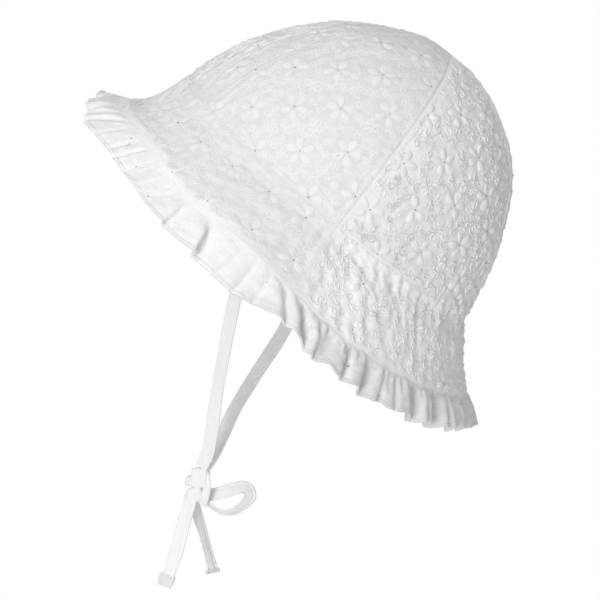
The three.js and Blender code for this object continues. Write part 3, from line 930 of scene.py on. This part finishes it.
def ruffle_base(azimuth, out):
    """The ruffle without its folds: points, and the ways out from the seam and round the hat."""
    edge = brim_surface(azimuth, np.ones_like(out))
    run = unit(edge - brim_surface(azimuth, np.full_like(out, 0.98)))
    width, reach, down, _ = ruffle_shape(off_front(azimuth) / np.pi)
    level = unit(edge * np.array([1, 1, 0]))
    fall = unit(level * reach[..., None] - np.array([0, 0, 1]) * down[..., None])
    on_run = out - 0.7 * np.maximum(out, 0) ** 2
    point = edge + run * (0.3 + width * on_run)[..., None] + fall * (width * (out - on_run))[..., None]
    return point, fall, unit(np.stack([-fall[..., 1], fall[..., 0], 0 * out], axis=-1))


def ruffle_surface(azimuth, out):
    """The middle of the ruffle's cloth, out from 0 at its seam to 1 at the free edge."""
    point, fall, aside = ruffle_base(azimuth, out)
    _, _, _, uneven = ruffle_shape(off_front(azimuth) / np.pi)
    open_share = np.clip(out, 0, 1)
    rise = uneven * ramp(open_share, 0, 0.8) * (
        np.sin(31 * azimuth + 1.1 * np.sin(5 * azimuth)) + 0.8 * np.sin(17 * azimuth + 2))
    shift = 0
    for centre, reach, depth, start_out, lean in pleats:
        beside = turn_from(math.radians(centre), azimuth) * rim_radius + lean * out
        opened = 0.68 * ramp(open_share, start_out, start_out + 0.5)
        depth = depth * (0.32 * ramp(open_share, 0.01, 0.14) + opened)
        rise = rise - depth * (bell(beside, reach) - 0.35 * bell(beside, 2.2 * reach))
        shift = shift - 0.12 * depth * beside / reach * bell(beside, 1.5 * reach)
    for centre, reach, height, overlap, lean in rolls:
        beside = (turn_from(math.radians(centre), azimuth) * rim_radius + lean * open_share) / reach
        step = -beside * np.exp(-beside ** 2 / 2) * ramp(open_share, 0, 0.55)
        rise = rise + height * step
        shift = shift + overlap * step
    from_corner = turn_from(math.radians(corner_turn), azimuth)
    rise = rise + corner_height * open_share ** 2 * bell(from_corner, math.radians(5))
    from_tuck = turn_from(math.radians(tuck_turn), azimuth)
    rise = rise - 1.5 * bell(from_tuck, math.radians(6)) * ramp(open_share, 0.45, 0.75)
    return point + np.cross(fall, aside) * rise[..., None] + aside * shift[..., None]


def ruffle_relief(seed):
    """Small gathers at the ruffle's seam, its narrow hem and its unevenness."""
    def relief(azimuth, out, u, v):
        away = off_front(azimuth) / np.pi
        beat = u * 2 * np.pi / 4.2 + 2.2 * np.sin(u / 9) + 1.4 * np.sin(u / 4.1)
        puckers = np.sin(beat) + 0.6 * np.sin(2.3 * beat + 2)
        total = (0.1 + 0.3 * ramp(away, 0.55, 0.7)) * puckers * bell(v - 1.5, 4) * ramp(out, 0.02, 0.14)
        total = total - 0.03 - 0.5 * (1 - ramp(out, -0.07, -0.05))
        total = total + 0.25 * ramp(out, 0.9, 0.93) - 0.2 * bell(out - 0.89, 0.015)
        uneven = 0.2 * crumples(u, v, seed, 20, 6) + 0.1 * crumples(u, v, seed + 40, 6, 3, 24)
        from_sides = np.abs(turn_from(math.radians(side_seam), off_front(azimuth))) * rim_radius
        return total * ramp(from_sides, -1, 3) + uneven * ramp(out, 0.03, 0.25) * ramp(from_sides, 0, 4)
    return relief


def ruffle_paleness_and_painted_shade(azimuth, out):
    """How pale the ruffle is: most along the sides, less behind, and less at the tip, which is painted
    darker as painted shade of its deep folds.
    """
    away = off_front(azimuth)
    # Painted shade: the tip is painted darker where its folds lie deep.
    tip_painted_shade = bell(away, 0.5) * ramp(out, -0.1, 0.2)
    return 1 - ramp(away, math.radians(94), math.radians(116)) - 0.9 * tip_painted_shade


def ruffle_inner(across, out, u, v):
    """How far the inner face lies below the outer one: the rolled hem is thicker."""
    hem = ramp(out, 0.915, 0.93) * np.sqrt(np.clip((1.004 - out) / 0.03, 0.05, 1))
    return ruffle_wall + 0.4 * hem


for half, seed in (("front", 31), ("back", 32)):
    name = "ruffle_" + half
    start_turn, end_turn = halves[half]
    panel = Panel(ruffle_surface, ruffle_relief(seed), start_turn, end_turn, ruffle_lift, ruffle_inner,
                  strip=True, flat=lambda azimuth, out: ruffle_base(azimuth, out)[0], paleness_and_painted_light=ruffle_paleness_and_painted_shade)
    columns = round(ruffle_columns_per_degree * (end_turn - start_turn))
    shape = panel.slab(columns, ruffle_rows, 0, 0.4, above=0.08)
    add_piece(name + "_cloth", shape, [cotton], [name])
    panels[name] = panel


# Embroidery. White thread on the flat cloth before it was cut: satin-stitched flowers of
# five petals round an eyelet, in a chequered lattice, and between them outlined flowers
# joined by wavy stems with outlined leaves. Seams cut through it.
petal_length = 5.4
petal_wide = 3.3
petal_height = 0.45
petal_from_middle = 4.0
petals_round = 5
eyelet_radius = 0.42
edge_gap = 0.35
cord_wide = 0.75
ring_petal = {"long": 1.6, "wide": 1.05}
ring_from_middle = 3.0
leaf = {"long": 1.75, "wide": 0.9}
leaf_from_stem = 1.9
leaf_places = ((1.4, 1), (3.4, -1), (7.4, 1), (9.4, -1))
stem_radius = 9.5
stem_from_middle = 5.2
stem_half = 5.4
lattice_rows = range(-14, 15)
lattice_columns = range(-20, 21)
curls_between = 9
curl_reach = (5.4, 11)
quarter_turn = math.pi / 2


def motif(shape, colour=0):
    """A finished motif: its mesh, and its own flat coordinates for the thread's run."""
    bmesh.ops.recalc_face_normals(shape, faces=shape.faces)
    for face in shape.faces:
        face.material_index = colour
    mesh = bpy.data.meshes.new("motif")
    shape.to_mesh(mesh)
    shape.free()
    return mesh, np.array([vert.co[:] for vert in mesh.vertices])


def tip_over(shape, axis):
    """Turns a form by a quarter about an axis through its middle."""
    matrix = Matrix.Rotation(quarter_turn, 3, axis)
    bmesh.ops.rotate(shape, verts=shape.verts, cent=(0, 0, 0), matrix=matrix)


def satin_petal():
    """A padded oval of satin stitch, wider at its outer end."""
    shape = bmesh.new()
    bmesh.ops.create_uvsphere(shape, u_segments=12, v_segments=6, radius=1)
    tip_over(shape, "Y")
    below = bmesh.ops.bisect_plane(
        shape, geom=shape.verts[:] + shape.edges[:] + shape.faces[:], plane_co=(0, 0, -0.02),
        plane_no=(0, 0, 1), clear_inner=True)
    rim = [part for part in below["geom_cut"] if isinstance(part, bmesh.types.BMEdge)]
    bmesh.ops.contextual_create(shape, geom=rim)
    for vert in shape.verts:
        end = vert.co.x
        vert.co.y *= petal_wide / 2 * (1 + 0.22 * end)
        vert.co.x *= petal_length / 2
        vert.co.z = -0.15 if vert.co.z < 0 else petal_height * vert.co.z
    return motif(shape)


def cord_ring(long, wide, segments, thick=cord_wide):
    """A closed oval of outline stitch."""
    shape = bmesh.new()
    bmesh.ops.create_circle(shape, segments=4, radius=thick / 2)
    tip_over(shape, "X")
    bmesh.ops.translate(shape, verts=shape.verts, vec=(1, 0, 0))
    bmesh.ops.spin(shape, geom=shape.edges[:], cent=(0, 0, 0), axis=(0, 0, 1), angle=2 * math.pi,
                   steps=segments, use_merge=True)
    bmesh.ops.remove_doubles(shape, verts=shape.verts, dist=1e-3)
    for vert in shape.verts:
        around = math.atan2(vert.co.y, vert.co.x)
        from_line = math.hypot(vert.co.x, vert.co.y) - 1
        vert.co.x = (long + from_line) * math.cos(around)
        vert.co.y = (wide + from_line) * math.sin(around)
        vert.co.z = 0.9 * vert.co.z + 0.04
    return motif(shape)


def stem_arc(turn, segments=7):
    """A piece of a stem: an arc of outline stitch with closed ends, starting at the middle."""
    shape = bmesh.new()
    bmesh.ops.create_circle(shape, cap_ends=True, segments=4, radius=0.4 * cord_wide)
    tip_over(shape, "Y")
    bmesh.ops.translate(shape, verts=shape.verts, vec=(0, 0, -0.04))
    bmesh.ops.spin(shape, geom=shape.faces[:], cent=(0, stem_radius * math.copysign(1, turn), 0),
                   axis=(0, 0, 1), angle=turn, steps=segments)
    return motif(shape)


def eyelet():
    """The punched hole in a flower's middle, bound with thread: a small dark disc of painted shade stands
    for the hole.
    """
    shape = bmesh.new()
    bmesh.ops.create_circle(shape, cap_ends=True, segments=8, radius=eyelet_radius)
    bmesh.ops.translate(shape, verts=shape.verts, vec=(0, 0, 0.1))
    return motif(shape, 1)


def dash():
    """One topstitch."""
    shape = bmesh.new()
    bmesh.ops.create_uvsphere(shape, u_segments=6, v_segments=4, radius=1)
    tip_over(shape, "Y")
    bmesh.ops.scale(shape, verts=shape.verts, vec=(1.15, 0.26, 0.2))
    bmesh.ops.translate(shape, verts=shape.verts, vec=(0, 0, 0.12))
    return motif(shape)


class Needlework:
    """Motifs stitched to a panel's cloth, each flat on the cloth at its own place."""

    def __init__(self, panel, top, bottom):
        self.panel = panel
        self.top = top
        self.bottom = bottom
        self.shape = bmesh.new()
        self.shares = []
        self.thread = []

    def stamp(self, form, spot, place=(0, 0), heading=0, size=1.0, reach=1.5):
        """Adds a motif at a place from the spot unless most of it would lie past an edge."""
        mesh, own = form
        here, frame = spot
        across, down = here + frame @ place
        width = np.interp(down, self.panel.downs, self.panel.widths)
        _, v = self.panel.cloth_place(across, down)
        if max((abs(across - 0.5) - 0.5) * width, self.top - v, v - self.bottom) > -0.3 * reach:
            return
        ahead, beside = size * math.cos(heading), size * math.sin(heading)
        flat = own[:, :2] @ np.array([(ahead, beside), (-beside, ahead)]) + place
        self.shares.append(here + flat @ frame.T)
        self.thread.append(own)
        self.shape.from_mesh(mesh)

    def lay(self, gaps=(edge_gap, edge_gap), flatter=1):
        """Lays the work on the panel. What would pass an edge is tucked into the seam."""
        own = np.concatenate(self.thread)
        across, down = np.concatenate(self.shares).T
        width = np.interp(down, self.panel.downs, self.panel.widths)
        top, bottom = np.interp((self.top, self.bottom), self.panel.runs, self.panel.downs)
        inside_across = np.clip(across, gaps[0] / width, 1 - gaps[1] / width)
        inside_down = np.clip(down, top, bottom)
        tucked = (inside_across != across) | (inside_down != down)
        points = self.panel.lay(inside_across, inside_down, np.where(tucked, -0.3, flatter * own[:, 2]))
        layer = self.shape.verts.layers.float_vector.new("cloth")
        for vert, point, place in zip(self.shape.verts, points, own):
            vert.co = point
            vert[layer] = (place[0], place[1], 1)
        return self.shape


petal = satin_petal()
flower_eye = eyelet()
petal_ring = cord_ring(**ring_petal, segments=10)
heart_ring = cord_ring(0.7, 0.7, 8, 0.6)
leaf_ring = cord_ring(**leaf, segments=8, thick=0.7)
stem_left = stem_arc(0.6)
stem_right = stem_arc(-0.6)
stitch = dash()
curls = (leaf_ring, heart_ring, leaf_ring)


def towards(heading):
    """One millimetre that way on the flat cloth."""
    return np.array([math.cos(heading), math.sin(heading)])


def satin_flower(work, spot, turn, dice):
    """Five satin petals round an eyelet."""
    for index in range(petals_round):
        heading = turn + index * 2 * math.pi / petals_round + dice.normal(0, 0.035)
        place = petal_from_middle * towards(heading)
        work.stamp(petal, spot, place, heading, 1 + dice.normal(0, 0.04), 2.2)
    work.stamp(flower_eye, spot, size=1 + dice.normal(0, 0.08), reach=0.6)


def outlined_flower(work, spot, middle, dice):
    """Five or six outlined petals round a small ring."""
    count = dice.integers(5, 7)
    turn = dice.uniform(0, 1)
    for index in range(count):
        heading = turn + index * 2 * math.pi / count + dice.normal(0, 0.05)
        place = middle + ring_from_middle * towards(heading)
        work.stamp(petal_ring, spot, place, heading, 1 + dice.normal(0, 0.06), 1.8)
    work.stamp(heart_ring, spot, middle, reach=0.8)


def leafy_stem(work, spot, middle, heading, dice):
    """A wavy stem with pairs of outlined leaves, from a flower's middle towards heading."""
    ahead = towards(heading)
    beside = np.array([-ahead[1], ahead[0]])
    root = middle + stem_from_middle * ahead
    work.stamp(stem_left, spot, root, heading - 0.3, reach=1)
    work.stamp(stem_right, spot, root + stem_half * ahead, heading + 0.3, reach=1)
    for run, side in leaf_places:
        place = root + run * ahead + side * leaf_from_stem * beside
        angle = heading + side * (0.75 + dice.normal(0, 0.12))
        work.stamp(leaf_ring, spot, place, angle, 1 + dice.normal(0, 0.06))


def sew_lattice(work, origin, east, south, seed, flowers="satin", between=True):
    """Covers a panel with the chequered lattice, from one flower and the steps to the next."""
    dice = np.random.default_rng(seed)
    panel = work.panel
    step = np.linalg.norm(east)
    between_flowers = step / 2 * np.array([1, -1])
    for row in lattice_rows:
        for column in lattice_columns:
            u, v = np.array(origin) + column * np.array(east) + row * np.array(south)
            here = np.array(panel.share_place(u, v))
            width = np.interp(here[1], panel.downs, panel.widths)
            if abs(here[0] - 0.5) * width > 0.5 * width + 12 or not work.top - 4 < v < work.bottom + 4:
                continue
            ahead = panel.share_place(u + 0.05 * east[0], v + 0.05 * east[1])
            spot = here, panel.flat_frame(here, ahead)
            if flowers == "satin" or (row, column) == (0, 0):
                satin_flower(work, spot, quarter_turn * (1 if (row + column) % 2 == 0 else -1), dice)
            else:
                outlined_flower(work, spot, np.zeros(2), dice)
            if not between:
                continue
            outlined_flower(work, spot, between_flowers, dice)
            for _ in range(curls_between):
                angle = dice.uniform(0, 2 * math.pi)
                place = between_flowers + dice.uniform(*curl_reach) * towards(angle)
                curl = curls[dice.integers(3)]
                work.stamp(curl, spot, place, dice.uniform(0, 3), 0.9)
            leafy_stem(work, spot, between_flowers, 0, dice)
            leafy_stem(work, spot, between_flowers, quarter_turn, dice)


def topstitch(work, across, down, pitch=3.0):
    """A row of stitches along a line on the panel."""
    across, down = np.broadcast_arrays(across, down)
    points = work.panel.lay(across, down, 0.0 * across) / mm
    run = np.concatenate([[0], np.cumsum(np.linalg.norm(np.diff(points, axis=0), axis=1))])
    for place in np.arange(pitch / 2, run[-1] - 1, pitch):
        here = np.array([np.interp(place, run, across), np.interp(place, run, down)])
        ahead = np.interp(place + 0.5, run, across), np.interp(place + 0.5, run, down)
        work.stamp(stitch, (here, work.panel.flat_frame(here, ahead)), reach=0.5)


thread, start = new_material("embroidery_thread")
place = start.node("Attribute", {"attribute_name": "cloth"}, {}, "Vector")
along, _, _ = place.split()
fuzz = start.noise(place, 1.3, 4, 0.6)
relief = along.sine(21) * 0.4 + fuzz * 2
satin_bump = start.node("Bump", {}, {"Strength": 0.5, "Distance": 0.1 * mm, "Height": relief})
start.finish("BsdfPrincipled", {
    "Base Color": fuzz.blend(off_white(0.765), off_white(0.875)),
    "Roughness": 0.6, "Sheen Weight": 0.2, "Sheen Roughness": 0.35, "Normal": satin_bump})

# The eyelet's hole is a dark disc of painted shade, in uneven greys.
eyelet_shade, start = new_material("eyelet_shade")
hole_shade_mottle = start.noise(start.node("TexCoord", {}, {}, "Object"), 900)
start.finish("BsdfPrincipled", {
    "Base Color": hole_shade_mottle.blend((0.2, 0.2, 0.2, 1), (0.4, 0.4, 0.4, 1)), "Roughness": 0.95})

lattices = {
    # one flower's place, the steps to the next ones, top and bottom, relief, seed
    "crown_front": ((4, 96), (15, -14), (15, 14), (12, 129.4), 0.45, 51),
    "crown_side_left": ((9, 107.8), (15, -13.6), (17.4, 13.1), (12, 129.4), 0.42, 52),
    "crown_back_left": ((-22.8, 101.3), (17.3, -12.4), (12.6, 13.7), (12, 136), 1.35, 53),
    "crown_back_right": ((10, 96), (14, 14), (-14, 14), (12, 136), 1.35, 54),
    "crown_side_right": ((-9, 104), (14, 15), (-16, 14), (12, 129.4), 0.45, 55),
    "brim_front": ((113.2, 12.4), (20.6, -2.2), (7.7, 17.6), (0.5, 33.4), 0.42, 56),
    "brim_back": ((-85.5, 15.3), (20.4, -3), (6, 19.6), (0.5, 39.5), 1.1, 57),
    "ruffle_front": ((3, 9), (20, 4), (-4, 20), (1.5, 15), 0.25, 58),
    "ruffle_back": ((5, 8), (20, 4), (-4, 20), (1.5, 13), 0.3, 59),
}
corded_gap = 3.6
edge_gaps = {"crown_back_left": (edge_gap, corded_gap), "crown_back_right": (corded_gap, edge_gap)}
for name, (origin, east, south, reach, relief_share, seed) in lattices.items():
    work = Needlework(panels[name], *reach)
    sew_lattice(work, origin, east, south, seed, "outlined" if name == "brim_back" else "satin",
                not name.startswith("ruffle"))
    shape = work.lay(edge_gaps.get(name, (edge_gap, edge_gap)), relief_share)
    add_piece(name + "_embroidery", shape, [cotton if name == "ruffle_front" else thread, eyelet_shade],
              sharp_from=75)

seam_rows = {
    # millimetres from the first seam, or back from the second one
    "crown_front": (1.7, -1.7), "crown_side_left": (), "crown_back_left": (1.6, -2.9),
    "crown_back_right": (2.9, -1.6), "crown_side_right": (), "brim_front": (), "brim_back": (),
}
for name, rows in seam_rows.items():
    panel = panels[name]
    work = Needlework(panel, 0.5, panel.runs[-1] - 0.5)
    downs = np.linspace(0.1, 0.99, 200)
    for from_seam in rows:
        width = np.interp(downs, panel.downs, panel.widths)
        topstitch(work, from_seam / width if from_seam > 0 else 1 + from_seam / width, downs)
    if name.startswith("brim"):
        topstitch(work, np.linspace(0.002, 0.998, 400), 1.9 / panel.runs[-1])
    if name.startswith("crown_side"):
        topstitch(work, np.linspace(0.01, 0.99, 100), 1 - 1.6 / panel.runs[-1])
    add_piece(name + "_topstitching", work.lay(), [thread], sharp_from=None)
